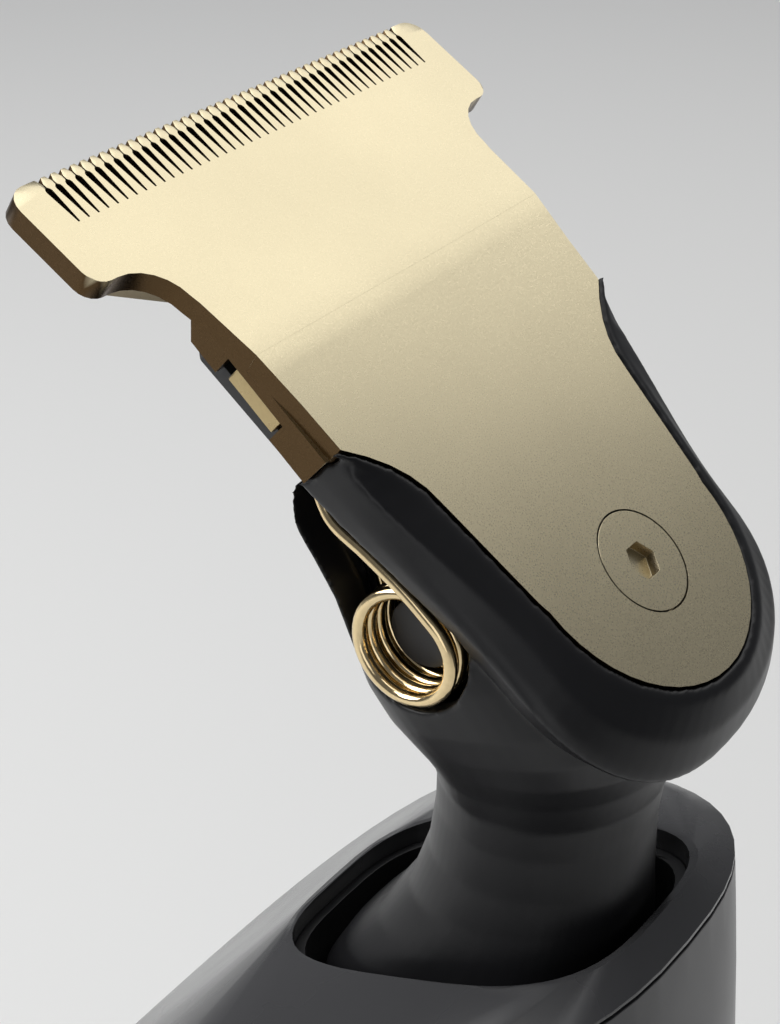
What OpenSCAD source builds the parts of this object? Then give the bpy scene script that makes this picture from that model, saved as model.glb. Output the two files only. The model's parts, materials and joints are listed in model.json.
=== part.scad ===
// Cordless T-blade beard trimmer: a tilted cutting head on a gooseneck that plugs into a round grip.
// Millimetres. +Z runs up the grip, the blade faces -Y, and X runs along the teeth.
// The origin is the centre of the flat base.

/* [Blade] */
// Width of the toothed edge
blade_w = 39.4; // [38:0.2:42]
// Number of slots between teeth
slots = 43; // [31:2:45]
// Distance from one tooth to the next
tooth_pitch = 0.81; // [0.76:0.01:0.86]
// Thickness of the fixed blade
blade_t = 1.4; // [1.2:0.1:1.5]
// Angle that the toothed end bends back
blade_bend = 9.2; // [6:0.2:12]
// Half of the cutter's side-to-side stroke
cutter_throw = 1.0; // [0.6:0.1:1.0]

/* [Head] */
// Tilt of the blade's face from the horizontal
head_tilt = 41; // [38:1:44]
// Height of the blade screw above the base
head_z = 144; // [140:1:150]
// Distance of the blade screw in front of the grip's axis
head_y = 16.4; // [15.6:0.1:16.8]
// Radius of the gooseneck at its narrowest
neck_r = 7.1; // [6.6:0.1:7.4]
// Wall of the pod and the gooseneck
pod_wall = 1.5; // [1.2:0.1:1.8]
// Mean radius of the spring's coils
coil_r = 3.35; // [3:0.05:3.5]
// Spring wire diameter
wire_d = 0.85; // [0.7:0.05:0.9]

/* [Grip] */
// Largest half width of the grip, along X
grip_hw = 21.2; // [20.4:0.2:22]
// Largest half depth of the grip, along Y
grip_hd = 22.9; // [22.3:0.2:24]
// Wall of the grip's shells
shell_t = 1.8; // [1.4:0.1:2.2]
// Height of the base cap
base_h = 9; // [8:0.5:12]
// Travel of the power button
button_travel = 0.6; // [0.4:0.1:0.8]

/* [Hidden] */
$fn = 48;
e = 0.01;

// Grip axis to grip ends
ring_n = 56;
cut_front_z = 117;
cut_slope = 18.5;
cut_fall = 0.09;
cut_fall_from = 22;
waist_z = 28;
belly_z = 90;
mouth_slope = 19.6;
mouth_y = 10.0 - head_y;
mouth_z = head_z - 29.6;
mouth_hd = 12.6;
mouth_hw = 10.2;
mouth_e = 3.3;
foot_y = 9.7 - head_y;
seam_gap = 0.12;
trim_t = 0.3;

// Head frame numbers: l runs up the blade from its screw, n runs out of its face
bend_l = 22.2;
tongue_r = 9.2;
tongue_l = 1.2;
shoulder_l = 15.3;
tee_t = 15.2;
slot_root_t = 11.8;
skirt_n = 3.5;
coil_l = 4.7;
coil_n = -8.3;
coil_x = 7.6;
coil_turns = 4.5;
coil_pitch = 1.0;

// Drive train
pivot_y = 5.8 - head_y;
pivot_z = head_z - 31.5;
tip_rise = 37.5;
fork_drop = 26;
lever_swing = cutter_throw / tip_rise;
cam_throw = fork_drop * lever_swing;
motor_y = -6;
motor_r = 11;
motor_z0 = 52;
motor_z1 = 79;
pin_r = 1.0;

// Battery and board
cell_r = 7;
cell_y = 7.5;
cell_z0 = 13;
cell_len = 37;
board_y = -11.4;
board_z0 = 14;
board_z1 = 46;
button_z = 38;

function spow(v, p) = sign(v) * pow(abs(v), p);
function mix(a, b, t) = a + (b - a) * t;
function unit(v) = v / norm(v);
function smooth(t) = t * t * (3 - 2 * t);

// A closed solid through rings of equal length, each counterclockwise seen from the last ring's side
module loft(rings) {
    n = len(rings[0]);
    m = len(rings);
    polyhedron(
        points = [for (r = rings) each r],
        faces = concat(
            [[for (i = [0 : n - 1]) i]],
            [for (k = [0 : m - 2]) for (i = [0 : n - 1])
                let (j = (i + 1) % n) each [
                    [k * n + i, (k + 1) * n + i, (k + 1) * n + j],
                    [k * n + i, (k + 1) * n + j, k * n + j]
                ]],
            [[for (i = [0 : n - 1]) m * n - 1 - i]]
        ),
        convexity = 8
    );
}

// A superellipse ring round (0, y) at height z, sloping down towards +Y by slope degrees
function oval(y, z, hw, hd, p, slope = 0, n = ring_n) = [
    for (i = [0 : n - 1])
        let (a = 360 * i / n, u = hd * spow(sin(a), 2 / p))
            [hw * spow(cos(a), 2 / p), y + u, z - u * tan(slope)]
];

// ---- Head frame ----
module at_head() {
    translate([0, -head_y, head_z]) rotate([head_tilt, 0, 0]) children();
}
// Place of a point of the head frame in the part's own frame, as [y, z]
function head_yz(l, n) = [
    -head_y + l * cos(head_tilt) - n * sin(head_tilt),
    head_z + l * sin(head_tilt) + n * cos(head_tilt)
];

// Half width of the tongue at l, above its round end
function tongue_w(l) =
    9.3 + 0.14 * (l - tongue_l) + 2.9 * pow(max(0, (l - 10.3) / 5), 2);

// Outline of the tongue, grown by g, from the shoulder round its end to the other shoulder
function tongue_outline(g = 0, top = shoulder_l) = concat(
    [for (i = [0 : 12]) let (l = mix(top, tongue_l + 0.8, i / 12)) [-tongue_w(l) - g, l]],
    [for (i = [0 : 24]) let (a = 180 + 180 * i / 24)
        [(tongue_r + g) * cos(a), tongue_l + (tongue_r + g) * sin(a)]],
    [for (i = [12 : -1 : 0]) let (l = mix(top, tongue_l + 0.8, i / 12)) [tongue_w(l) + g, l]]
);

// Outline of the toothed end, measured from the bend line
function tee_side(s) = concat(
    [[s * 14.7, -0.06], [s * 14.9, 4.2]],
    [for (i = [0 : 6]) let (a = 180 - 90 * i / 6) [s * (18 + 3 * cos(a)), 4.8 + 3 * sin(a)]],
    [for (i = [0 : 5]) let (a = -90 + 90 * i / 5)
        [s * (blade_w / 2 - 1.2 + 1.2 * cos(a)), 9.0 + 1.2 * sin(a)]],
    [for (i = [0 : 5]) let (a = 90 * i / 5)
        [s * (blade_w / 2 - 1.4 + 1.4 * cos(a)), tee_t - 1.4 + 1.4 * sin(a)]]
);
function tee_outline() = let (right = tee_side(1), left = tee_side(-1))
    concat(right, [for (i = [len(left) - 1 : -1 : 0]) left[i]]);

module at_tee() {
    at_head() translate([0, bend_l, 0]) rotate([-blade_bend, 0, 0]) children();
}

// Cuts between the teeth, each a mirrored half outline of [half width, height]
module tooth_slots(half) {
    for (i = [0 : slots - 1])
        translate([(i - (slots - 1) / 2) * tooth_pitch, 0, -3]) linear_extrude(6)
            polygon(concat(half, [for (k = [len(half) - 1 : -1 : 0]) [-half[k][0], half[k][1]]]));
}
// The fixed teeth end in rounded bulbs, so each cut nearly closes before its flared mouth
fixed_slot = [[0.07, slot_root_t], [0.24, 14.2], [0.2, 14.36], [0.05, 14.5], [0.05, 14.78], [0.3, tee_t + 0.1]];
moving_slot = [[0.1, slot_root_t - 0.4], [0.26, tee_t + 1]];

module fixed_blade() {
    color([0.80, 0.74, 0.60]) {
        difference() {
            union() {
                at_head() translate([0, 0, -blade_t]) linear_extrude(blade_t)
                    polygon(concat(
                        tongue_outline(),
                        [[14.35, 18.5], [14.7, bend_l - 0.03], [-14.7, bend_l - 0.03], [-14.35, 18.5]]));
                difference() {
                    at_tee() translate([0, 0, -blade_t]) linear_extrude(blade_t) polygon(tee_outline());
                    at_tee() tooth_slots(fixed_slot);
                }
                for (s = [-1, 1]) blade_skirt(s);
            }
            at_head() translate([0, 0, -blade_t - 1]) cylinder(r = 1.7, h = blade_t + 2);
            at_head() translate([0, 0, -0.95]) cylinder(r = 3.42, h = 2);
        }
    }
}

// Side flange of the fixed blade, with the notch that holds the guide bar
module blade_skirt(s) {
    difference() {
        at_head() translate([s * 14.15 - 0.35, 0, 0]) rotate([90, 0, 90]) linear_extrude(0.7)
            polygon([[shoulder_l, -blade_t + 0.2], [bend_l + 3.6, -blade_t + 0.1], [bend_l + 4.2, -2.2],
                [bend_l + 3.2, -skirt_n], [shoulder_l, -skirt_n]]);
        at_head() translate([s * 14.15, 20.8, -skirt_n]) cube([3, 4.8, 2.9], center = true);
    }
}

module moving_blade() {
    color([0.62, 0.57, 0.46]) difference() {
        at_tee() translate([0, 0, -blade_t - 0.06 - 0.8]) linear_extrude(0.8)
            polygon([[-12.6, 0.8], [12.6, 0.8], [12.6, 5.0], [17.9, 8.6], [17.9, tee_t - 0.5],
                [-17.9, tee_t - 0.5], [-17.9, 8.6], [-12.6, 5.0]]);
        at_tee() translate([0, 0, -1.3]) tooth_slots(moving_slot);
    }
}

// Fixed bar across the blade, let into both flanges, that the carrier slides along
module guide_bar() {
    color([0.45, 0.38, 0.24]) difference() {
        at_head() translate([-14.35, 18.6, -3.2]) cube([28.7, 3.9, 1.15]);
        at_head() translate([0, 20.6, -4]) cylinder(r = 1.2, h = 3);
    }
}

// Plastic carrier behind the blades, with the socket that the lever's tip drives
module cutter_carrier() {
    color([0.16, 0.16, 0.17]) difference() {
        union() {
            at_head() translate([0, 0, -4.75]) linear_extrude(1.1) polygon([
                [-13.2, 15.9], [13.2, 15.9], [13.6, 24.6], [12.4, 26.2], [-12.4, 26.2], [-13.6, 24.6]]);
            at_head() translate([-4.2, 16.2, -9.2]) cube([8.4, 5.4, 4.6]);
            for (s = [-1, 1]) {
                at_head() translate([s * 9.6 - 1.6, 16.8, -3.7]) cube([3.2, 1.6, 1.4]);
                at_tee() translate([s * 9.6 - 1.6, 1.4, -3.7]) cube([3.2, 1.8, 3.7 - blade_t - 0.86]);
            }
        }
        at_head() translate([-1.55, 16.2 - e, -8.4]) cube([3.1, 3.9, 3.4]);
    }
}

module blade_screw() {
    color([0.82, 0.76, 0.62]) difference() {
        at_head() union() {
            translate([0, 0, -0.9]) cylinder(r = 3.3, h = 0.9);
            translate([0, 0, -6.4]) cylinder(r = 1.45, h = 5.6);
        }
        at_head() translate([0, 0, -0.75]) cylinder(r = 1.27, h = 1, $fn = 6);
    }
}

module screw_insert() {
    color([0.72, 0.60, 0.32]) difference() {
        at_head() translate([0, 0, -6.8]) cylinder(r = 2.2, h = 6.8 - blade_t);
        at_head() translate([0, 0, -7.8]) cylinder(r = 1.5, h = 8);
    }
}

// ---- Tension spring: two coils joined by a bridge, with two legs a side under the carrier ----
function coil_point(s, t) = [
    s * (coil_x + coil_pitch * coil_turns * (1 - t)),
    coil_l + coil_r * cos(90 + 360 * coil_turns * t),
    coil_n + coil_r * sin(90 + 360 * coil_turns * t)
];
coil_steps = 18;
// From the outer leg's end, round the coil from its outside inwards, to the inner leg's end at the bridge
function spring_side(s) = concat(
    [[s * 10.6, 17.2, -5.35], [s * 11.6, 15.3, -5.5], [s * 12.1, 13.0, -6.0], [s * 12.2, 10.2, coil_n + 2.9],
        [s * 12.15, 7.2, coil_n + 3.3]],
    [for (i = [0 : coil_steps * coil_turns]) coil_point(s, i / (coil_steps * coil_turns))],
    [[s * 7.65, 7.0, -11.0], [s * 7.7, 9.6, -9.6], [s * 7.3, 12.3, -7.6], [s * 6.2, 14.2, -6.2],
        [s * 4.8, 15.2, -5.7], [s * 2.6, 15.4, -5.6]]
);

// A wire of n sides along a list of points
module wire(path, d, n = 8) {
    last = len(path) - 1;
    loft([for (i = [0 : last])
        let (
            tangent = unit(path[min(i + 1, last)] - path[max(i - 1, 0)]),
            side = unit(cross(tangent, [1, 0, 0.6])),
            up = cross(side, tangent)
        ) [for (k = [0 : n - 1]) path[i] + d / 2 * (cos(-360 * k / n) * side + sin(-360 * k / n) * up)]
    ]);
}

module tension_spring() {
    color([0.83, 0.74, 0.52]) at_head() for (s = [-1, 1]) wire(spring_side(s), wire_d);
    color([0.83, 0.74, 0.52]) at_head() wire([[-2.7, 15.4, -5.6], [0, 15.45, -5.58], [2.7, 15.4, -5.6]], wire_d);
}

module spring_post() {
    color([0.14, 0.14, 0.15]) for (s = [-1, 1])
        at_head() translate([s * 6.2, coil_l, coil_n]) rotate([0, s * 90, 0]) cylinder(r = 2.2, h = 3.6);
}

// ---- Pod and gooseneck ----
// Sections from the foot to the top of the pod, measured from the blade screw:
// [front y, front z, back y, back z, half width, roundness]
goose = [
    [-0.9, -35, 20.5, -41.4, 8.8, 3.0],
    [-0.9, -30.8, 20.6, -36.6, 8.8, 3.0],
    [-1, -28.7, 19.1, -33.8, 8.5, 2.8],
    [-1.2, -26.8, 16.7, -30.8, 8.0, 2.5],
    [-1.3, -24.8, 14.5, -27.2, 7.5, 2.25],
    [-1.4, -22.4, 13.3, -23.4, 7.15, 2.1],
    [-1.5, -19.4, 12.9, -19.8, neck_r, 2.0],
    [-1.8, -16.8, 12.8, -17.4, 7.3, 2.0],
    [-2.8, -13.8, 12.8, -15.8, 8.2, 2.1],
    [-4, -11, 13, -14.4, 9.3, 2.3],
    [-4.2, -8.4, 13.4, -13, 10.3, 2.5],
    [-3.3, -6, 14.2, -11.2, 11.2, 2.7],
    [-1.1, -2.8, 15, -8.8, 12.0, 2.8],
    [1.7, -0.4, 15.7, -5.8, 12.5, 2.7],
    [4.8, 2.3, 16.5, -2.7, 12.8, 2.6],
    [7.8, 4.9, 17.3, 0.1, 13.3, 2.6],
    [9.8, 6.6, 17.6, 2, 13.9, 2.6],
    [12.3, 8.8, 17.5, 4.5, 14.1, 2.7]
];

function goose_ring(k, g) =
    let (
        s = goose[k],
        front = [s[0] - head_y, s[1] + head_z],
        back = [s[2] - head_y, s[3] + head_z],
        mid = (front + back) / 2,
        half = norm(front - back) / 2 - g,
        dir = unit(front - back)
    ) [for (i = [0 : ring_n - 1])
        let (a = 360 * i / ring_n, u = -half * spow(sin(a), 2 / s[5]))
            [(s[4] - g) * spow(cos(a), 2 / s[5]), mid[0] + dir[0] * u, mid[1] + dir[1] * u]];

module gooseneck(g, first, last) {
    loft([for (k = [first : last]) goose_ring(k, g)]);
}

// The inside of the pod and neck, run on past both ends
module neck_hollow() {
    last = len(goose) - 1;
    loft(concat(
        [[for (q = goose_ring(0, pod_wall)) q - [0, 0, 3]]],
        [for (k = [0 : last]) goose_ring(k, pod_wall)],
        [[for (q = goose_ring(last, pod_wall)) q + 2 * [0, cos(head_tilt), sin(head_tilt)]]]
    ));
}

// Rings of the band round the plate: from its edge, over a soft shoulder, to the rim and in under it
band_top = 15.35;
function band_ring(w_low, w_high, h, p, n_low, n_side, lc = -0.85, m = 30) =
    let (
        side = [for (i = [0 : 11]) let (l = mix(band_top, lc, i / 11))
            [mix(w_low, w_high, smooth(max(0, (l - lc) / (band_top - lc)))), l, n_side]],
        low = [for (i = [1 : m - 1]) let (a = 180 + 180 * i / m)
            [w_low * spow(cos(a), 2 / p), lc + h * spow(sin(a), 2 / p),
                mix(n_side, n_low, pow(-sin(a), 2))]]
    ) concat([for (q = side) [-q[0], q[1], q[2]]], low, [for (i = [11 : -1 : 0]) side[i]]);
function band_edge_ring(g, n) =
    let (
        side = [for (i = [0 : 11]) let (l = mix(band_top, tongue_l + 0.8, i / 11)) [tongue_w(l) + g, l, n]],
        low = [for (i = [1 : 29]) let (a = 180 + 180 * i / 30)
            [(tongue_r + g) * cos(a), tongue_l + (tongue_r + g) * sin(a), n]]
    ) concat([for (q = side) [-q[0], q[1], q[2]]], low, [for (i = [11 : -1 : 0]) side[i]]);

module pod_band() {
    at_head() loft([
        band_ring(9.0, 12.4, 6.2, 2.2, -7.5, -6.2),
        band_ring(11.6, 13.9, 9.6, 2.25, -5.2, -4.4),
        band_ring(12.7, 14.1, 10.95, 2.3, -3.95, -2.6),
        band_ring(12.4, 14.12, 10.7, 2.25, -3.3, -2.0),
        band_ring(11.2, 14.15, 9.6, 2.2, -1.5, -0.75),
        band_edge_ring(0.9, -0.08),
        band_edge_ring(0.4, 0)
    ]);
}

// The teardrop window on each side, from its round end up to its open top
module window_prism() {
    at_head() rotate([90, 0, 90]) linear_extrude(40, center = true) polygon(concat(
        [for (i = [0 : 18]) let (a = 110 + 160 * i / 18) [4.75 + 4.3 * cos(a), -8.25 + 4.3 * sin(a)]],
        [[7.6, -11.7], [10.1, -10.0], [12.9, -8.4], [17, -6.6], [17, -4.5], [9, -4.1]]
    ));
}

// Everything of the housing that is smooth or cut by smooth shapes, merged into one mesh
module pod_core() {
    resize([0, 0, 0]) difference() {
        union() {
            gooseneck(0, 0, len(goose) - 1);
            pod_band();
        }
        // The plate's seat
        at_head() translate([0, 0, -blade_t]) linear_extrude(4) polygon(concat(
            tongue_outline(0.12, 17), [[20, 17], [-20, 17]]));
        // Hollow of the neck and of the pod, round the screw's boss
        difference() {
            neck_hollow();
            at_head() translate([-20, -20, -2.4]) cube([40, 60, 10]);
            at_head() translate([0, 0, -7.2]) cylinder(r = 4.0, h = 8);
            // Web that carries the back end of the lever's pin
            translate([-12, pivot_y + 3.2, pivot_z - 4]) cube([24, 2.2, 8]);
        }
        translate([0, foot_y, head_z - 43]) cube([30, 40, 7], center = true);
        lever_pocket();
        // Windows, outside the inner walls
        difference() {
            window_prism();
            cube([12.6, 400, 600], center = true);
        }
        rear_opening(0.1);
    }
}

// Room behind the blade for the carrier's socket and the lever's tip
module lever_pocket() {
    at_head() translate([-8, 12, -8.9]) cube([16, 8, 6.4]);
}

module head_housing() {
    color([0.11, 0.11, 0.12]) difference() {
        pod_core();
        at_head() translate([0, 0, -8]) cylinder(r = 2.2, h = 12);
        for (s = [-1, 1]) rear_screw_axis(s) cylinder(r = 0.95, h = 7);
        translate([0, pivot_y - 8, pivot_z]) rotate([-90, 0, 0]) cylinder(r = pin_r, h = 14);
    }
}

// The opening behind the pod, through its back wall
module rear_opening(g) {
    at_head() translate([0, 9.5, -14]) cube([15 + 2 * g, 10.6 + 2 * g, 12], center = true);
}

// The panel that fills it, following the pod's back
module rear_panel() {
    intersection() {
        resize([0, 0, 0]) difference() {
            gooseneck(0.03, 10, 17);
            gooseneck(pod_wall + 0.03, 9, 17);
        }
        rear_opening(0);
    }
}

module rear_screw_axis(s) {
    at_head() translate([s * 6.2, 9.6, -13.9]) children();
}

module head_rear_cover() {
    color([0.13, 0.13, 0.14]) difference() {
        rear_panel();
        for (s = [-1, 1]) rear_screw_axis(s) translate([0, 0, -2]) cylinder(r = 0.9, h = 7);
        lever_pocket();
    }
}

module rear_cover_screws() {
    color([0.2, 0.2, 0.21]) for (s = [-1, 1]) rear_screw_axis(s) cylinder(r = 0.85, h = 4);
}

// ---- Lever from the motor's cam to the cutter ----
module lever_link(a, b, r) {
    translate([0, a[0], a[1]])
        rotate([-atan2(b[0] - a[0], b[1] - a[1]), 0, 0])
            cylinder(r = r, h = norm(b - a));
}

module drive_lever() {
    tip = head_yz(17.9, -6.7);
    knee = head_yz(8.5, -8.6);
    neck = [pivot_y, head_z - 16.5];
    hub = [pivot_y, pivot_z];
    color([0.85, 0.84, 0.80]) difference() {
        union() {
            lever_link(tip, knee, 1.05);
            translate([0, tip[0], tip[1]]) sphere(r = 1.4);
            translate([0, knee[0], knee[1]]) sphere(r = 2.0);
            lever_link(neck, knee, 1.6);
            translate([0, neck[0], neck[1]]) sphere(r = 2.0);
            lever_link(hub, neck, 1.6);
            translate([0, pivot_y - 2.6, pivot_z]) rotate([-90, 0, 0]) cylinder(r = 3.1, h = 5.2);
            translate([-2, pivot_y - 2, pivot_z - fork_drop + 2.4]) cube([4, 4, fork_drop - 4]);
            translate([-5, motor_y - 5, pivot_z - fork_drop - 2]) cube([10, 10, 5.4]);
        }
        translate([0, pivot_y - 4, pivot_z]) rotate([-90, 0, 0]) cylinder(r = 1.6, h = 8);
        translate([-2.6, motor_y - 3.2, pivot_z - fork_drop - 3]) cube([5.2, 6.4, 4.6]);
    }
}

module lever_bush() {
    color([0.72, 0.60, 0.32]) translate([0, pivot_y - 2.6, pivot_z]) rotate([-90, 0, 0]) difference() {
        cylinder(r = 1.6, h = 5.2);
        translate([0, 0, -1]) cylinder(r = pin_r + 0.05, h = 8);
    }
}

module lever_pivot_pin() {
    color([0.75, 0.75, 0.76]) translate([0, pivot_y - 6.3, pivot_z]) rotate([-90, 0, 0])
        cylinder(r = pin_r, h = 11.5);
}

// ---- Joint of neck and grip ----
module neck_seal() {
    color([0.05, 0.05, 0.05]) difference() {
        loft([for (z = [0, 1.2]) oval(foot_y + 0.1, head_z - 36.8 + z, 9.38, 11.5, 3.2, 16.6)]);
        loft([for (z = [-2, 3]) oval(foot_y + 0.1, head_z - 36.8 + z, 8.92, 10.92, 3.0, 16.6)]);
    }
}

// Sloping plate that holds the liner's floor against the neck
module neck_clamp_ring() {
    color([0.55, 0.56, 0.57]) difference() {
        loft([mouth_ring(-1.6, 14.6), mouth_ring(-1.6, 13.25)]);
        translate([0, foot_y, 80]) cylinder(r = 7.2, h = 40);
    }
}

// ---- Grip ----
// Half width and half depth of the grip at height z: a waist low down, a belly under the collar
grip_p = 2.5;
function grip_at(z) =
    let (
        k = 0.92 - 0.08 * cos(180 * (z - waist_z) / (belly_z - waist_z)),
        edge = 1.2 * pow(max(0, 1 - z / 2.2), 2)
    ) [grip_hw * k - edge, grip_hd * k - edge];
function grip_ring(z, g) = let (s = grip_at(z)) oval(0, z, s[0] - g, s[1] - g, grip_p);

module grip_solid(g, z0 = 0) {
    loft([for (z = concat([z0], [for (k = [0.6, 1.1, 1.6, 2.2, 4, 6.5, base_h, 14, 20, 27, 34, 42, 50, 58, 66, 74,
        82, 90, 96, 102, 108, 113, 118, 122]) if (k > z0) k])) grip_ring(z, g)]);
}

// Height of the parting line under the collar, which falls gently from front to back and then faster
function cut_z(y) = let (run = y + 21.4)
    cut_front_z - run * tan(cut_slope) - cut_fall * pow(max(0, run - cut_fall_from), 1.6);

// Everything from lift above the parting line up to a height of tall above it
module above_cut(lift, tall = 60) {
    ys = [for (i = [-15 : 15]) i * 1.73];
    rotate([90, 0, 90]) linear_extrude(60, center = true) polygon(concat(
        [for (y = ys) [y, cut_z(y) + lift]],
        [for (i = [len(ys) - 1 : -1 : 0]) [ys[i], cut_z(ys[i]) + lift + tall]]
    ));
}

module grip_shell() {
    difference() {
        grip_solid(0, base_h + seam_gap);
        grip_solid(shell_t, base_h - 1);
        above_cut(0);
    }
}

// The side pads' outline, seen along X
module pad_prism(s, g) {
    translate([s > 0 ? 10 : -30, 0, 0]) rotate([90, 0, 90]) linear_extrude(20) polygon(concat(
        [for (i = [0 : 12]) let (a = 180 + 180 * i / 12) [(7.2 + g) * cos(a), 24 + (7.2 + g) * sin(a)]],
        [for (i = [0 : 12]) let (a = 180 * i / 12) [(7.2 + g) * cos(a), 70 + (9 + g) * sin(a)]]
    ));
}

module button_hole(g) {
    translate([0, -10, button_z]) rotate([90, 0, 0]) cylinder(r = 6.4 + g, h = 20);
}

module front_shell() {
    color([0.20, 0.20, 0.21]) difference() {
        grip_shell();
        translate([-40, 0, -10]) cube([80, 40, 200]);
        for (s = [-1, 1]) pad_cut(s);
        button_hole(0);
        for (i = [-1 : 1]) light_slot(i, 0);
    }
}

module rear_shell() {
    color([0.18, 0.18, 0.19]) difference() {
        grip_shell();
        translate([-40, -40 + seam_gap, -10]) cube([80, 40, 200]);
        for (s = [-1, 1]) pad_cut(s);
        for (z = [30, 74]) shell_screw_axis(z) translate([0, 0, -2]) cylinder(r = 1.25, h = 8);
    }
}

// Shallow recess in the shells for a side pad
module pad_cut(s) {
    difference() {
        pad_prism(s, 0);
        grip_solid(0.9);
    }
}

module side_pad(s) {
    color([0.06, 0.06, 0.065]) difference() {
        intersection() {
            pad_prism(s, -0.15);
            grip_solid(0);
        }
        grip_solid(0.85);
    }
}
module left_grip() { side_pad(-1); }
module right_grip() { side_pad(1); }

// ---- Collar between grip and neck ----
function mouth_ring(g, d) = oval(mouth_y, mouth_z - d, mouth_hw + g, mouth_hd + g, mouth_e, mouth_slope);

// Ring that follows the parting line, g inside the grip's outline and lifted by h
function edge_ring(g, h) = [
    for (q = grip_ring(108, 0))
        let (s = grip_at(cut_z(q[1]) + h), b = grip_at(108), x = q[0] * (s[0] - g) / b[0], y = q[1] * (s[1] - g) / b[1])
            [x, y, cut_z(y) + h]
];

// The collar's outer form: flat facets from the mouth to the edge, and a bevel round the edge
module collar_form(g, d, bevel = 1.5) {
    hull() {
        loft([mouth_ring(0.5, d + 0.5), mouth_ring(0.5, d)]);
        loft([edge_ring(g, -6 - d), edge_ring(g, 0.55 - d), edge_ring(g + bevel, 1.5 - d)]);
    }
}

module top_collar() {
    color([0.22, 0.22, 0.23]) resize([0, 0, 0]) difference() {
        intersection() {
            collar_form(0, 0);
            above_cut(-4.5);
        }
        // Step for the shells' rims, which leaves a skirt that plugs into them
        difference() {
            above_cut(-20, 20 + trim_t);
            grip_solid(shell_t + 0.15, 60);
        }
        loft([mouth_ring(0, 40), mouth_ring(0, -14)]);
        difference() {
            hull() {
                collar_form(3.2, 2.2);
                translate([0, 0, -40]) collar_form(3.2, 2.2);
            }
            loft([mouth_ring(1.3, 45), mouth_ring(1.3, -1)]);
        }
    }
}

// Dark strip that fills the parting line
module collar_trim() {
    color([0.05, 0.05, 0.05]) difference() {
        intersection() {
            grip_solid(0.4, 70);
            above_cut(0.02, trim_t - 0.04);
        }
        grip_solid(1.7, 60);
    }
}

module socket_liner() {
    color([0.07, 0.07, 0.075]) difference() {
        loft([mouth_ring(-0.04, 13.2), mouth_ring(-0.04, 1.6)]);
        loft([mouth_ring(-0.75, 11.8), mouth_ring(-0.75, -5)]);
        translate([0, foot_y, 80]) cylinder(r = 7.2, h = 40);
    }
}

// ---- Inside the grip ----
module chassis() {
    color([0.13, 0.13, 0.14]) difference() {
        union() {
            intersection() {
                translate([-13.5, -15.4, 11.4]) cube([27, 30.4, 77]);
                grip_solid(2.6);
            }
        }
        translate([0, motor_y, motor_z0 - 4]) cylinder(r = motor_r + 1.3, h = 60);
        translate([-30, -40, motor_z0 + 3]) cube([60, 40 + motor_y - 2, 60]);
        translate([-30, cell_y - 4, 9]) cube([60, 40, 42.5]);
        translate([-11.8, -30, 12.6]) cube([23.6, 30 + cell_y - 9.2, 37]);
        translate([0, cell_y, 8]) cylinder(r = cell_r + 0.75, h = 45);
        translate([-6, -2, 86]) cube([12, 30, 20]);
        translate([-2.2, cell_y - 10.5, cell_z0 - 0.4]) cube([4.4, 5, 0.6]);
    }
}

module motor_can() {
    color([0.70, 0.71, 0.72]) difference() {
        translate([0, motor_y, motor_z0]) cylinder(r = motor_r, h = motor_z1 - motor_z0);
        translate([0, motor_y, motor_z0 - 1]) cylinder(r = motor_r - 0.9, h = motor_z1 - motor_z0);
        translate([0, motor_y, motor_z1 - 2]) cylinder(r = 2.6, h = 4);
    }
}

module motor_end_cap() {
    color([0.9, 0.9, 0.88]) difference() {
        translate([0, motor_y, motor_z0 - 1.2]) cylinder(r = motor_r - 0.95, h = 3.2);
        translate([0, motor_y, motor_z0 + 0.6]) cylinder(r = 1.3, h = 3);
    }
}

module motor_bearing() {
    color([0.72, 0.60, 0.32]) translate([0, motor_y, motor_z1 - 1.0]) difference() {
        union() {
            cylinder(r = 2.6, h = 2.2);
            translate([0, 0, -0.9]) cylinder(r = 3.6, h = 0.9);
        }
        translate([0, 0, -2]) cylinder(r = 1.05, h = 6);
    }
}

module motor_rotor() {
    color([0.35, 0.35, 0.37]) {
        translate([0, motor_y, motor_z0 + 1.0]) cylinder(r = 1.0, h = motor_z1 - motor_z0 + 2.15);
        translate([0, motor_y, motor_z0 + 7]) difference() {
            cylinder(r = 9.2, h = 15);
            for (k = [0 : 2]) rotate([0, 0, 120 * k]) {
                translate([5.4, 0, -1]) cylinder(r = 2.5, h = 17);
                translate([6, -0.7, -1]) cube([6, 1.4, 17]);
            }
        }
    }
}

module drive_cam() {
    color([0.75, 0.75, 0.76]) {
        difference() {
            translate([0, motor_y, motor_z1 + 1.6]) cylinder(r = 3.4, h = 2.6);
            translate([0, motor_y, motor_z1 + 0.6]) cylinder(r = 1.0, h = 2.6);
        }
        translate([0, motor_y + cam_throw, motor_z1 + 4.1]) cylinder(r = pin_r, h = 3.4);
    }
}

module motor_cushion() {
    color([0.10, 0.10, 0.10]) difference() {
        translate([0, motor_y, motor_z0 + 2]) cylinder(r = motor_r + 1.2, h = 20);
        translate([0, motor_y, motor_z0]) cylinder(r = motor_r, h = 30);
        translate([-20, motor_y - 30, motor_z0]) cube([40, 26, 30]);
    }
}

function lead_path(s) = [
    [s * 5.2, -4.6, 50.6], [s * 5.6, -4.8, 49.2], [s * 6.8, -6.0, 47.6],
    [s * 8.0, -8.2, 46.2], [s * 8.4, -9.4, 44.0], [s * 8.4, -9.56, 42.4]
];
module motor_leads() {
    color([0.75, 0.12, 0.10]) for (s = [-1, 1]) wire(lead_path(s), 1.2);
}

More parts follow.
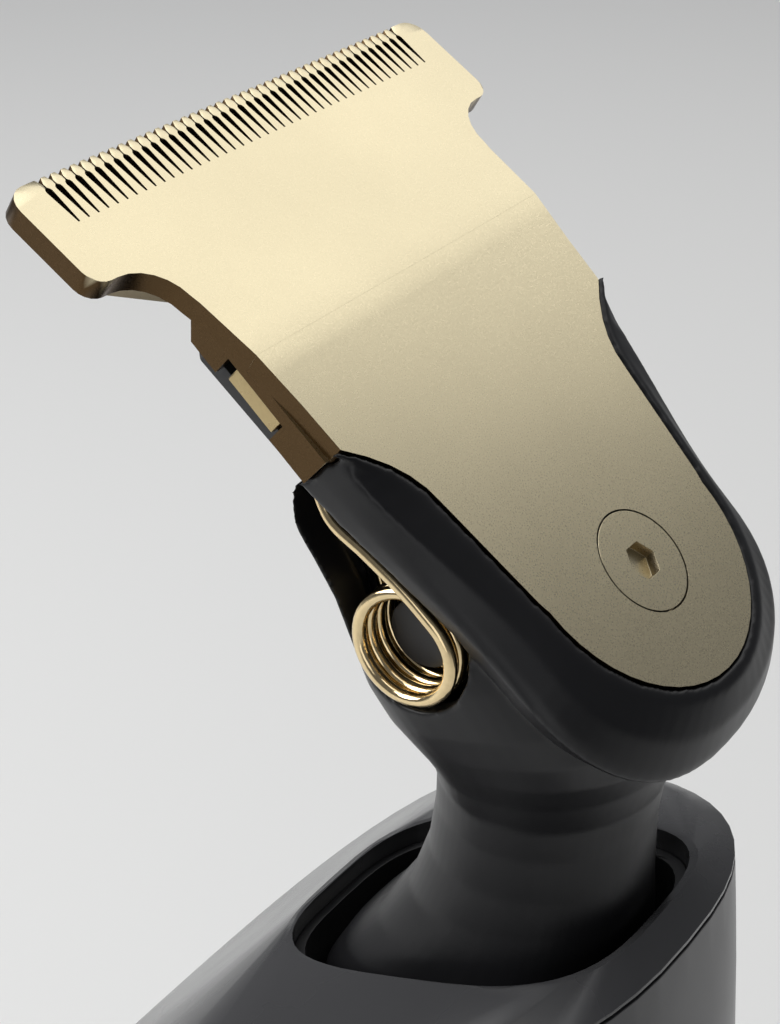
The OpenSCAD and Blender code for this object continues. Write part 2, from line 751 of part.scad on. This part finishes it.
module battery_cell() {
    color([0.16, 0.32, 0.55]) union() {
        translate([0, cell_y, cell_z0]) cylinder(r = cell_r, h = cell_len - 1);
        translate([0, cell_y, cell_z0 + cell_len - 1]) cylinder(r = 2.6, h = 1);
    }
}

module battery_sleeve() {
    color([0.85, 0.85, 0.82]) difference() {
        translate([0, cell_y, cell_z0 + 4]) cylinder(r = cell_r + 0.5, h = cell_len - 9);
        translate([0, cell_y, cell_z0]) cylinder(r = cell_r, h = cell_len);
    }
}

module battery_tabs() {
    color([0.78, 0.78, 0.76]) {
        translate([-2, cell_y - 9.8, cell_z0 - 0.25]) cube([4, 14, 0.25]);
        translate([-2, cell_y - 9.8, cell_z0 + cell_len]) cube([4, 12, 0.25]);
    }
}

module circuit_board() {
    color([0.05, 0.28, 0.16]) difference() {
        translate([-10.5, board_y, board_z0]) cube([21, 1.2, board_z1 - board_z0]);
        for (s = [-1, 1]) translate([s * 8.8, board_y - 1, board_z0 + 2]) rotate([-90, 0, 0]) cylinder(r = 0.8, h = 4);
    }
}

module button_switch() {
    color([0.55, 0.55, 0.56]) {
        translate([-3, board_y - 2.2, button_z - 3]) cube([6, 2.2, 6]);
        translate([0, board_y - 2.2, button_z]) rotate([90, 0, 0]) cylinder(r = 1.7, h = 0.25);
    }
}

module charge_chip() {
    color([0.08, 0.08, 0.09]) {
        translate([-6, board_y - 1.2, 22]) cube([5, 1.2, 5]);
        translate([2.5, board_y - 1.0, 24]) cube([3.6, 1.0, 2.6]);
        for (i = [-1 : 1]) translate([i * 4 - 0.8, board_y - 0.7, 29.4]) cube([1.6, 0.7, 0.8]);
    }
}

button_face = -grip_at(button_z)[1] - 0.4;
module power_button() {
    color([0.80, 0.74, 0.60]) translate([0, 0, button_z]) rotate([90, 0, 0]) {
        difference() {
            translate([0, 0, 15.6]) cylinder(r = 5.0, h = -button_face - 15.6);
            translate([0, 0, -button_face + 10.3]) sphere(r = 10.7, $fn = 96);
        }
        translate([0, 0, -board_y + 3.2]) cylinder(r = 1.5, h = 1.2);
    }
}

module button_bezel() {
    color([0.30, 0.30, 0.31]) difference() {
        intersection() {
            translate([0, 0, button_z]) rotate([90, 0, 0]) cylinder(r = 6.3, h = 30);
            grip_solid(-0.25);
        }
        grip_solid(2.0);
        translate([0, 0, button_z]) rotate([90, 0, 0]) cylinder(r = 5.25, h = 40);
    }
}

module button_seal() {
    color([0.06, 0.06, 0.06]) translate([0, 0, button_z]) rotate([90, 0, 0]) difference() {
        translate([0, 0, 14.3]) cylinder(r = 6.2, h = 2.5);
        translate([0, 0, 14.85]) cylinder(r = 5.6, h = 4);
        translate([0, 0, 13]) cylinder(r = 2.2, h = 4);
    }
}

module light_slot(i, g) {
    translate([i * 4, board_y - 0.75, 30]) rotate([90, 0, 0]) cylinder(r = 0.8 - g, h = 12);
}

module light_pipes() {
    color([0.92, 0.92, 0.88, 0.7]) intersection() {
        for (i = [-1 : 1]) light_slot(i, 0.04);
        grip_solid(0.02);
    }
}

module charge_socket() {
    color([0.72, 0.72, 0.73]) difference() {
        translate([-4.6, -6, 2.2]) cube([9.2, 3.4, 8]);
        translate([-4.2, -5.6, 1]) cube([8.4, 2.6, 7.8]);
    }
    color([0.1, 0.1, 0.1]) translate([-3.2, -4.65, 3.2]) cube([6.4, 0.7, 6]);
}

module base_cap() {
    color([0.16, 0.16, 0.17]) difference() {
        loft([for (z = [0.6, 1.1, 1.6, 2.2, 4, 6.5, base_h]) grip_ring(z, 0)]);
        loft([for (z = [3, base_h + 2]) grip_ring(z, 2.2)]);
        translate([-4.75, -6.15, -1]) cube([9.5, 3.7, 12]);
        base_pad_shape(0.1, 0, 1.0);
        for (s = [-1, 1]) base_screw_axis(s) cylinder(r = 0.95, h = 10);
        for (s = [-1, 1]) base_screw_axis(s) translate([0, 0, -1]) cylinder(r = 1.9, h = 2.6);
    }
}

module base_pad_shape(g, z, h) {
    difference() {
        translate([0, 1, z]) cylinder(r = 13.2 + g, h = h);
        translate([0, 1, z - 1]) cylinder(r = 10.4 - g, h = h + 2);
    }
}

module base_pad() {
    color([0.07, 0.07, 0.07]) base_pad_shape(0, 0, 1.0);
}

module base_screw_axis(s) {
    translate([s * 7.4, 2.2, 0.6]) children();
}

module base_screws() {
    color([0.5, 0.5, 0.51]) for (s = [-1, 1]) base_screw_axis(s) difference() {
        union() {
            cylinder(r = 1.8, h = 1.5);
            cylinder(r = 0.9, h = 9);
        }
        translate([0, 0, -1]) cylinder(r = 0.7, h = 1.8, $fn = 6);
    }
}

module shell_screw_axis(z) {
    translate([0, grip_at(z)[1], z]) rotate([90, 0, 0]) children();
}

module shell_screws() {
    color([0.35, 0.35, 0.36]) for (z = [30, 74]) shell_screw_axis(z) translate([0, 0, 0.4]) difference() {
        cylinder(r = 1.2, h = 3.6);
        translate([0, 0, -1]) cylinder(r = 0.7, h = 1.9, $fn = 6);
    }
}

fixed_blade();
moving_blade();
guide_bar();
cutter_carrier();
blade_screw();
screw_insert();
tension_spring();
spring_post();
head_housing();
head_rear_cover();
rear_cover_screws();
drive_lever();
lever_bush();
lever_pivot_pin();
neck_seal();
neck_clamp_ring();
top_collar();
socket_liner();
collar_trim();
front_shell();
rear_shell();
left_grip();
right_grip();
chassis();
motor_can();
motor_end_cap();
motor_bearing();
motor_rotor();
drive_cam();
motor_cushion();
motor_leads();
battery_cell();
battery_sleeve();
battery_tabs();
circuit_board();
button_switch();
charge_chip();
power_button();
button_seal();
button_bezel();
light_pipes();
charge_socket();
base_cap();
base_pad();
shell_screws();
base_screws();
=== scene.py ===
"""Looks of a cordless T-blade beard trimmer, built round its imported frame. Metres, in the frame's axes."""

import json
import math

import bpy
from mathutils import Matrix, Vector


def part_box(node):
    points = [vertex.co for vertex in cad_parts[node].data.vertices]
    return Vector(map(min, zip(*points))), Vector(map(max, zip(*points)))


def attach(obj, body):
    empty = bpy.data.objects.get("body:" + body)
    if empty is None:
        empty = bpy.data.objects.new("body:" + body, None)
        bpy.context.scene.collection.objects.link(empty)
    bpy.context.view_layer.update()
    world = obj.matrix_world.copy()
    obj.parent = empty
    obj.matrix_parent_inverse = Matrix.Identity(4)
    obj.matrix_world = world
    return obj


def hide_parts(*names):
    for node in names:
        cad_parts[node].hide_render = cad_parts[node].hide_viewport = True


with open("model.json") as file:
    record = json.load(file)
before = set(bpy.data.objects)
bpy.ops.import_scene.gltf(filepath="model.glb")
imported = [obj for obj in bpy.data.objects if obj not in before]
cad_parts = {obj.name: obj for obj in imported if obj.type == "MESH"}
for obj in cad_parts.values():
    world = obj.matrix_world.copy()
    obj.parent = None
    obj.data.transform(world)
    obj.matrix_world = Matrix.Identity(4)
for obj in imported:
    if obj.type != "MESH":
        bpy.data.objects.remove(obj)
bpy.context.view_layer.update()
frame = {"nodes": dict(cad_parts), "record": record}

MM = 0.001
NODES = frame["nodes"]

# ---- Driving places ----
# Tilt of the blade's face from the horizontal
HEAD_TILT = math.radians(41)
# Angle of the blade's bend, and its distance up from the screw in mm
BLADE_BEND = math.radians(9.2)
BEND_UP = 22.2
# Half of the width, in mm, over which the bend's shading turns
BEND_SOFTNESS = 1.6

# The screw's head is a disc whose face is tilted with the head, so its box gives its centre
SCREW_HEAD_R = 3.3 * MM
screw_low, screw_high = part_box("blade_screw")
SCREW = Vector((
    0,
    screw_low.y + SCREW_HEAD_R * math.cos(HEAD_TILT),
    screw_high.z - SCREW_HEAD_R * math.sin(HEAD_TILT),
))


def head_point(x, up, out):
    """Place in metres of a head-frame point in mm: along the teeth, up the blade, out of its face."""
    return SCREW + MM * Vector((
        x,
        up * math.cos(HEAD_TILT) - out * math.sin(HEAD_TILT),
        up * math.sin(HEAD_TILT) + out * math.cos(HEAD_TILT),
    ))


def face_normal(tilt):
    """Normal of a blade face at that tilt from the horizontal."""
    return (0, -math.sin(tilt), math.cos(tilt))


# ---- Node tools ----
# Range that most values of a noise texture lie in
NOISE_LOW = 0.3
NOISE_HIGH = 0.7


def new_material(name):
    """A new node material, its node tree and its shader node."""
    material = bpy.data.materials.new(name)
    material.use_nodes = True
    tree = material.node_tree
    shader = tree.nodes["Principled BSDF"]
    return material, tree, shader


def object_coordinates(tree):
    return tree.nodes.new("ShaderNodeTexCoord").outputs["Object"]


def noise(tree, vector, scale, detail=3.0, roughness=0.55):
    """Noise with about that many grains to the metre."""
    node = tree.nodes.new("ShaderNodeTexNoise")
    node.inputs["Scale"].default_value = scale
    node.inputs["Detail"].default_value = detail
    node.inputs["Roughness"].default_value = roughness
    tree.links.new(vector, node.inputs["Vector"])
    return node.outputs["Fac"]


def remap(tree, value, low, high, from_low=NOISE_LOW, from_high=NOISE_HIGH):
    """Stretches a value from one range to another and holds it at the ends."""
    node = tree.nodes.new("ShaderNodeMapRange")
    node.inputs["From Min"].default_value = from_low
    node.inputs["From Max"].default_value = from_high
    node.inputs["To Min"].default_value = low
    node.inputs["To Max"].default_value = high
    tree.links.new(value, node.inputs["Value"])
    return node.outputs["Result"]


def ramp(tree, value, first, last):
    """Blends two colours, each given as the value it belongs to and the colour."""
    node = tree.nodes.new("ShaderNodeValToRGB")
    for element, (place, colour) in zip(node.color_ramp.elements, (first, last)):
        element.position = place
        element.color = (*colour, 1)
    tree.links.new(value, node.inputs["Fac"])
    return node.outputs["Color"]


def bump(tree, shader, height, strength, distance):
    """Relief in the shading, of that distance in metres between a height of 0 and 1."""
    node = tree.nodes.new("ShaderNodeBump")
    node.inputs["Strength"].default_value = strength
    node.inputs["Distance"].default_value = distance
    tree.links.new(height, node.inputs["Height"])
    tree.links.new(node.outputs["Normal"], shader.inputs["Normal"])


def scaled(colour, factor):
    return tuple(min(1.0, channel * factor) for channel in colour)


def tint(tree, shader, pattern, colour, low, high):
    """Varies the base colour between two multiples of it, by a noise pattern."""
    first = (NOISE_LOW, scaled(colour, low))
    last = (NOISE_HIGH, scaled(colour, high))
    tree.links.new(ramp(tree, pattern, first, last), shader.inputs["Base Color"])


def vary_gloss(tree, shader, pattern, low, high):
    """Varies the roughness between two values, by a noise pattern."""
    tree.links.new(remap(tree, pattern, low, high), shader.inputs["Roughness"])


def feed(tree, value, socket):
    """Sets an input from another socket or from a plain value."""
    if isinstance(value, bpy.types.NodeSocket):
        tree.links.new(value, socket)
    else:
        socket.default_value = value


def vector_math(tree, operation, first, second=(0, 0, 0)):
    node = tree.nodes.new("ShaderNodeVectorMath")
    node.operation = operation
    feed(tree, first, node.inputs[0])
    feed(tree, second, node.inputs[1])
    return node.outputs["Value" if operation == "DOT_PRODUCT" else "Vector"]


def mix(tree, kind, factor, first, second):
    """Blends two vectors (kind VECTOR) or two colours (kind RGBA) by a factor from 0 to 1."""
    node = tree.nodes.new("ShaderNodeMix")
    node.data_type = kind
    tree.links.new(factor, node.inputs["Factor"])
    blended = [socket for socket in node.inputs if socket.enabled and socket.name in "AB"]
    feed(tree, first, blended[0])
    feed(tree, second, blended[1])
    return next(socket for socket in node.outputs if socket.enabled)


def surface_normal(tree):
    return tree.nodes.new("ShaderNodeNewGeometry").outputs["Normal"]


# ---- Materials ----
# How far a surface's roughness goes below and above its mean
SMOOTHER = 0.05
ROUGHER = 0.06
# Cosines of the angle between a surface and the blade's face. Over the first pair the side turns into the
# ground face, which takes in the bent strip, and over the second the painted shade of the sides turns into
# the pale coating.
FACE_COSINES = (0.975, 0.98)
SIDE_SHADE_COSINES = (0.15, 0.5)
# Distance between the bands of a wave texture of scale 1, and between the grip's ribs in metres
WAVE_PERIOD = math.pi / 10
RIB_PITCH = 0.0096
# Share of the fine grain in the ribs' relief
RIB_GRAIN = 0.12


def satin_metal(name, colour, roughness, grain=9500, grain_depth=0.00001, spread=0.03):
    """Bead-blasted, coated metal: a fine speckle in its gloss and relief, and slow changes of colour."""
    material, tree, shader = new_material(name)
    place = object_coordinates(tree)
    speckle = noise(tree, place, grain, 2.0, 0.6)
    cloud = noise(tree, place, 90)
    shader.inputs["Metallic"].default_value = 1.0
    tint(tree, shader, cloud, colour, 1 - spread, 1 + spread)
    vary_gloss(tree, shader, speckle, roughness - SMOOTHER, roughness + ROUGHER)
    bump(tree, shader, speckle, 0.06, grain_depth)
    return material


def soften_bend(tree, facing):
    """Turns the face's normal gradually across the blade's bend, which is rounded on the real part."""
    along = (0, math.cos(HEAD_TILT), math.sin(HEAD_TILT))
    bend = head_point(0, BEND_UP, 0).dot(Vector(along))
    up = vector_math(tree, "DOT_PRODUCT", object_coordinates(tree), along)
    turn = remap(tree, up, 0, 1, bend - BEND_SOFTNESS * MM, bend + BEND_SOFTNESS * MM)
    below, above = face_normal(HEAD_TILT), face_normal(HEAD_TILT - BLADE_BEND)
    rounded = vector_math(tree, "NORMALIZE", mix(tree, "VECTOR", turn, below, above))
    on_face = remap(tree, facing, 0, 1, *FACE_COSINES)
    bump_node = next(node for node in tree.nodes if node.type == "BUMP")
    feed(tree, mix(tree, "VECTOR", on_face, surface_normal(tree), rounded), bump_node.inputs["Normal"])


def coated_blade(name, face_colour, painted_side_shade, roughness):
    """The blade's coating, pale on the ground face; the stamped sides are painted dark, a painted shade for
    their dark reflection.
    """
    material = satin_metal(name, face_colour, roughness)
    tree = material.node_tree
    base_colour = tree.nodes["Principled BSDF"].inputs["Base Color"]
    facing = vector_math(tree, "DOT_PRODUCT", surface_normal(tree), face_normal(HEAD_TILT))
    soften_bend(tree, facing)
    on_face = remap(tree, facing, 0, 1, *SIDE_SHADE_COSINES)
    pale = base_colour.links[0].from_socket
    # Painted shade: the sides get a dark colour that stands in for their dark reflection, and the ground
    # face keeps the pale coating
    feed(tree, mix(tree, "RGBA", on_face, (*painted_side_shade, 1), pale), base_colour)
    return material


def polished_metal(name, colour, roughness=0.12):
    """Drawn or turned metal with faint marks left by its tool."""
    material, tree, shader = new_material(name)
    place = object_coordinates(tree)
    marks = noise(tree, place, 2500, 4.0)
    shader.inputs["Metallic"].default_value = 1.0
    tint(tree, shader, marks, colour, 0.93, 1.05)
    vary_gloss(tree, shader, marks, roughness * 0.8, roughness * 1.35)
    bump(tree, shader, marks, 0.15, 0.000006)
    return material


def moulded_plastic(name, colour, roughness, grain=5200, depth=0.00001, coat=0.0, wear=0.25, level=0.5):
    """Moulded or painted plastic: fine spark texture, and slow changes of gloss from handling."""
    material, tree, shader = new_material(name)
    place = object_coordinates(tree)
    texture = noise(tree, place, grain, 2.0, 0.7)
    handling = noise(tree, place, 45, 4.0)
    tint(tree, shader, handling, colour, 1 - wear / 2, 1 + wear / 2)
    vary_gloss(tree, shader, handling, roughness - SMOOTHER, roughness + ROUGHER)
    shader.inputs["Specular IOR Level"].default_value = level
    shader.inputs["Coat Weight"].default_value = coat
    shader.inputs["Coat Roughness"].default_value = 0.2
    bump(tree, shader, texture, 0.3, depth)
    return material


def ribbed_rubber(name, colour):
    """Soft-touch rubber with broad, shallow ribs round the grip, painted darker in the grooves and lighter
    on the crests.
    """
    material, tree, shader = new_material(name)
    place = object_coordinates(tree)
    wave = tree.nodes.new("ShaderNodeTexWave")
    wave.wave_type = "BANDS"
    wave.bands_direction = "Z"
    wave.inputs["Scale"].default_value = WAVE_PERIOD / RIB_PITCH
    wave.inputs["Distortion"].default_value = 0.0
    tree.links.new(place, wave.inputs["Vector"])
    texture = noise(tree, place, 6000, 2.0, 0.7)
    relief = tree.nodes.new("ShaderNodeMath")
    relief.operation = "MULTIPLY_ADD"
    relief.inputs[1].default_value = RIB_GRAIN
    tree.links.new(texture, relief.inputs[0])
    tree.links.new(wave.outputs["Fac"], relief.inputs[2])
    # Painted shade and highlight: the colour follows the ribs' relief, darker in the grooves and lighter on
    # the crests
    shade = ramp(tree, wave.outputs["Fac"], (0.2, scaled(colour, 0.7)), (0.8, scaled(colour, 1.2)))
    tree.links.new(shade, shader.inputs["Base Color"])
    shader.inputs["Roughness"].default_value = 0.62
    bump(tree, shader, relief.outputs[0], 0.7, 0.00022)
    return material


def plain_rubber(name, colour):
    """Matt rubber with a coarse grain."""
    return moulded_plastic(name, colour, 0.6, grain=8000, depth=0.00002)


def clear_plastic(name):
    """Frosted light pipe."""
    material, tree, shader = new_material(name)
    frost = noise(tree, object_coordinates(tree), 1800)
    shader.inputs["Base Color"].default_value = (0.85, 0.86, 0.84, 1)
    shader.inputs["Transmission Weight"].default_value = 0.7
    vary_gloss(tree, shader, frost, 0.25, 0.4)
    return material


def board_lacquer(name):
    """Green solder mask, a little lighter over a net of tracks."""
    material, tree, shader = new_material(name)
    place = object_coordinates(tree)
    cells = tree.nodes.new("ShaderNodeTexVoronoi")
    cells.feature = "DISTANCE_TO_EDGE"
    cells.inputs["Scale"].default_value = 420
    tree.links.new(place, cells.inputs["Vector"])
    over_tracks = (0.03, (0.02, 0.20, 0.09))
    between_tracks = (0.08, (0.01, 0.10, 0.05))
    shade = ramp(tree, cells.outputs["Distance"], over_tracks, between_tracks)
    tree.links.new(shade, shader.inputs["Base Color"])
    vary_gloss(tree, shader, noise(tree, place, 900), 0.2, 0.35)
    bump(tree, shader, cells.outputs["Distance"], 0.2, 0.00003)
    return material


MATERIALS = {
    # The second, dark colour is painted shade for the blade's stamped sides
    "champagne_blade": coated_blade("champagne_blade", (0.78, 0.69, 0.47), (0.09, 0.055, 0.025), 0.30),
    "cutter_steel": satin_metal("cutter_steel", (0.42, 0.35, 0.24), 0.32),
    "spring_gold": polished_metal("spring_gold", (0.78, 0.62, 0.36), 0.12),
    "brass_bits": polished_metal("brass_bits", (0.46, 0.36, 0.19), 0.3),
    "carrier_plastic": moulded_plastic("carrier_plastic", (0.018, 0.018, 0.019), 0.45),
    "satin_black": moulded_plastic("satin_black", (0.008, 0.008, 0.009), 0.36, level=0.32),
    "collar_gloss": moulded_plastic("collar_gloss", (0.045, 0.045, 0.047), 0.26, coat=0.3, wear=0.1),
    "shell_charcoal": moulded_plastic(
        "shell_charcoal", (0.040, 0.040, 0.042), 0.34, coat=0.15, wear=0.1),
    "grip_rubber": ribbed_rubber("grip_rubber", (0.016, 0.016, 0.017)),
    "seal_rubber": plain_rubber("seal_rubber", (0.008, 0.008, 0.008)),
    "bright_steel": polished_metal("bright_steel", (0.66, 0.66, 0.67), 0.2),
    "dark_steel": polished_metal("dark_steel", (0.16, 0.16, 0.17), 0.28),
    "acetal": moulded_plastic("acetal", (0.74, 0.72, 0.66), 0.4, wear=0.05),
    "lead_red": moulded_plastic("lead_red", (0.5, 0.03, 0.02), 0.4, wear=0.1),
    "battery_wrap": moulded_plastic(
        "battery_wrap", (0.03, 0.12, 0.30), 0.3, coat=0.4, wear=0.1),
    "insulation_card": moulded_plastic("insulation_card", (0.66, 0.62, 0.52), 0.7, wear=0.1),
    "board_green": board_lacquer("board_green"),
    "chip_black": moulded_plastic("chip_black", (0.012, 0.012, 0.013), 0.5),
    "bezel_dark": polished_metal("bezel_dark", (0.25, 0.25, 0.26), 0.22),
    "light_pipe": clear_plastic("light_pipe"),
}

# ---- The carried-over CAD nodes: finish, softened edges and clean shading ----
# Width of each node's edge rounding in mm
EDGE = {
    "fixed_blade": 0.10, "moving_blade": 0.05, "guide_bar": 0.10, "blade_screw": 0.2,
    "top_collar": 0.16, "front_shell": 0.12, "rear_shell": 0.12, "base_cap": 0.2, "base_pad": 0.2,
    "power_button": 0.25, "button_bezel": 0.15, "left_grip": 0.2, "right_grip": 0.2,
    "cutter_carrier": 0.15, "chassis": 0.15, "drive_lever": 0.15, "motor_can": 0.3, "battery_cell": 0.4,
}
DEFAULT_EDGE = 0.06
EDGE_SEGMENTS = 2
SHARP_ANGLE = math.radians(35)
# How strongly large faces pull the shading of the edges towards themselves
LARGE_FACE_WEIGHT = 80
WELD_DISTANCE = 0.001 * MM
# Grid size and smoothing passes of the housing's even mesh
HOUSING_VOXEL = 0.18 * MM
HOUSING_SMOOTHING = 12


def weld_smooth(node):
    """Joins the corners that the triangles share and shades the mesh smooth."""
    for polygon in node.data.polygons:
        polygon.use_smooth = True
    weld = node.modifiers.new("weld", "WELD")
    weld.merge_threshold = WELD_DISTANCE


def refine(node, width):
    """Rounds the node's edges by width mm, all in modifiers."""
    weld_smooth(node)
    edges = node.modifiers.new("edges", "BEVEL")
    edges.width = width * MM
    edges.segments = EDGE_SEGMENTS
    edges.limit_method = "ANGLE"
    edges.angle_limit = SHARP_ANGLE
    edges.use_clamp_overlap = True
    normals = node.modifiers.new("normals", "WEIGHTED_NORMAL")
    normals.weight = LARGE_FACE_WEIGHT
    normals.keep_sharp = False


def remesh(node, voxel, passes):
    """Rebuilds a lofted shell as an even, smooth surface, all in modifiers."""
    weld_smooth(node)
    voxels = node.modifiers.new("voxels", "REMESH")
    voxels.mode = "VOXEL"
    voxels.voxel_size = voxel
    voxels.use_smooth_shade = True
    relax = node.modifiers.new("relax", "SMOOTH")
    relax.factor = 0.5
    relax.iterations = passes


SLOT_OF = {part["node"]: part["material_slot"] for part in frame["record"]["subparts"]}
for name, node in NODES.items():
    node.data.materials.clear()
    node.data.materials.append(MATERIALS[SLOT_OF[name]])
    if name == "head_housing":
        remesh(node, HOUSING_VOXEL, HOUSING_SMOOTHING)
    else:
        refine(node, EDGE.get(name, DEFAULT_EDGE))

# ---- Tension spring, in head-frame millimetres ----
# Place of the coils' axis, and of each coil's inner end along X
COIL_UP = 4.7
COIL_OUT = -8.3
COIL_X = 7.6
COIL_R = 3.35
COIL_TURNS = 4.5
COIL_PITCH = 1.0
WIRE_R = 0.425
STEPS_A_TURN = 40
LEG_STEPS = 8
# Points of the legs as (x, up, out): the outer one runs down from under the carrier to the coil,
# the inner one from the coil up to the middle of the head
OUTER_LEG = (
    (10.6, 17.2, -5.35), (11.6, 15.3, -5.5), (12.1, 13.0, -6.0), (12.2, 10.2, -5.4), (12.15, 7.2, -5.0),
)
INNER_LEG = (
    (7.65, 7.0, -11.0), (7.7, 9.6, -9.6), (7.3, 12.3, -7.6), (6.2, 14.2, -6.2), (4.8, 15.2, -5.7),
    (2.6, 15.4, -5.6), (0.0, 15.45, -5.58),
)


def coil_point(side, t):
    """A point of one coil, t from 0 at its outside to 1 at its inside."""
    angle = math.pi / 2 + 2 * math.pi * COIL_TURNS * t
    return Vector((
        side * (COIL_X + COIL_PITCH * COIL_TURNS * (1 - t)),
        COIL_UP + COIL_R * math.cos(angle),
        COIL_OUT + COIL_R * math.sin(angle),
    ))


def smooth_path(points, steps):
    """A Catmull-Rom curve through the points."""
    path = []
    for i in range(len(points) - 1):
        before = points[max(i - 1, 0)]
        here = points[i]
        there = points[i + 1]
        after = points[min(i + 2, len(points) - 1)]
        for k in range(steps):
            t = k / steps
            path.append(0.5 * (
                2 * here + (there - before) * t
                + (2 * before - 5 * here + 4 * there - after) * t * t
                + (3 * here - before - 3 * there + after) * t ** 3
            ))
    return path + [points[-1]]


def spring_path(side):
    """One side's wire: the outer leg, the coil and the inner leg."""
    turns = round(STEPS_A_TURN * COIL_TURNS)
    coil = [coil_point(side, i / turns) for i in range(turns + 1)]
    outer = [Vector((side * x, up, out)) for x, up, out in OUTER_LEG]
    inner = [Vector((side * x, up, out)) for x, up, out in INNER_LEG]
    to_coil = smooth_path(outer + [coil[0]], LEG_STEPS)
    from_coil = smooth_path([coil[-1]] + inner, LEG_STEPS)
    return to_coil[:-1] + coil[:-1] + from_coil


def add_spring():
    """Both coils as one polished wire form, from one outer leg to the other."""
    route = spring_path(-1) + list(reversed(spring_path(1)))[1:]
    data = bpy.data.curves.new("coil_spring", "CURVE")
    data.dimensions = "3D"
    data.bevel_depth = WIRE_R * MM
    data.bevel_resolution = 4
    data.use_fill_caps = True
    line = data.splines.new("POLY")
    line.points.add(len(route) - 1)
    for point, place in zip(line.points, route):
        point.co = (*head_point(*place), 1)
    line.use_smooth = True
    spring = bpy.data.objects.new("coil_spring", data)
    bpy.context.scene.collection.objects.link(spring)
    data.materials.append(MATERIALS["spring_gold"])
    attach(spring, "grip")
    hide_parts("tension_spring")


add_spring()

# ---- Camera ----
# The focal length is in the rendered frame's own pixels
CAMERA_AZIMUTH = math.radians(-55.7)
CAMERA_ELEVATION = math.radians(29.4)
FRAME_HEIGHT = 1024
FOCAL_LENGTH = 2133
SENSOR = 36
CAMERA_FROM_SCREW = Vector((-0.0973, -0.0484, 0.0639))
NEAREST_SEEN = 0.005


def add_camera():
    """Sets the camera close in front of the blade's left side and a little above it."""
    forward = Vector((
        -math.sin(CAMERA_AZIMUTH) * math.cos(CAMERA_ELEVATION),
        math.cos(CAMERA_AZIMUTH) * math.cos(CAMERA_ELEVATION),
        -math.sin(CAMERA_ELEVATION),
    ))
    right = forward.cross(Vector((0, 0, 1))).normalized()
    up = right.cross(forward)
    data = bpy.data.cameras.new("camera")
    data.sensor_fit = "VERTICAL"
    data.sensor_height = SENSOR
    data.lens = SENSOR * FOCAL_LENGTH / FRAME_HEIGHT
    data.clip_start = NEAREST_SEEN
    camera = bpy.data.objects.new("camera", data)
    bpy.context.scene.collection.objects.link(camera)
    turn = Matrix((right, up, -forward)).transposed().to_4x4()
    camera.matrix_world = Matrix.Translation(SCREW + CAMERA_FROM_SCREW) @ turn
    bpy.context.scene.camera = camera


# ---- Studio ----
FLOOR_HALF = 3.0
FLOOR_COLOUR = (0.78, 0.78, 0.77)
FLOOR_ROUGHNESS = 0.8
SKY_COLOUR = (0.92, 0.94, 1.0)
SKY_STRENGTH = 0.16
# Softboxes, all aimed at the blade screw: name, place, (width, height), watts, colour.
# The blade's face mirrors plate_light at its toothed end and misses it at its round end.
SOFTBOXES = (
    ("overhead", (0, 0.3, 1.5), (1.6, 1.6), 11, (1, 1, 1)),
    ("plate_light", (0.45, -0.02, 0.565), (0.47, 0.47), 0.76, (1.0, 0.99, 0.97)),
    ("back_light", (-0.30, 0.40, 0.45), (0.4, 0.4), 2.6, (1, 1, 1)),
    ("side_light", (-0.60, -0.30, 0.22), (0.3, 0.5), 0.5, (1, 1, 1)),
)


def add_softbox(name, place, size, power, colour):
    data = bpy.data.lights.new(name, "AREA")
    data.shape = "RECTANGLE"
    data.size, data.size_y = size
    data.energy = power
    data.color = colour
    light = bpy.data.objects.new(name, data)
    bpy.context.scene.collection.objects.link(light)
    light.location = place
    light.rotation_euler = (SCREW - Vector(place)).to_track_quat("-Z", "Y").to_euler()


def add_floor():
    corners = [(x * FLOOR_HALF, y * FLOOR_HALF, 0) for x, y in ((-1, -1), (1, -1), (1, 1), (-1, 1))]
    mesh = bpy.data.meshes.new("floor")
    mesh.from_pydata(corners, [], [(0, 1, 2, 3)])
    floor = bpy.data.objects.new("floor", mesh)
    bpy.context.scene.collection.objects.link(floor)
    material, _, shader = new_material("pale_floor")
    shader.inputs["Base Color"].default_value = (*FLOOR_COLOUR, 1)
    shader.inputs["Roughness"].default_value = FLOOR_ROUGHNESS
    mesh.materials.append(material)


def add_studio():
    """A plain pale floor, a dim pale surround and four softboxes."""
    add_floor()
    world = bpy.data.worlds.new("studio")
    world.use_nodes = True
    background = world.node_tree.nodes["Background"]
    background.inputs["Color"].default_value = (*SKY_COLOUR, 1)
    background.inputs["Strength"].default_value = SKY_STRENGTH
    bpy.context.scene.world = world
    bpy.context.scene.view_settings.view_transform = "Standard"
    for box in SOFTBOXES:
        add_softbox(*box)


add_camera()
add_studio()
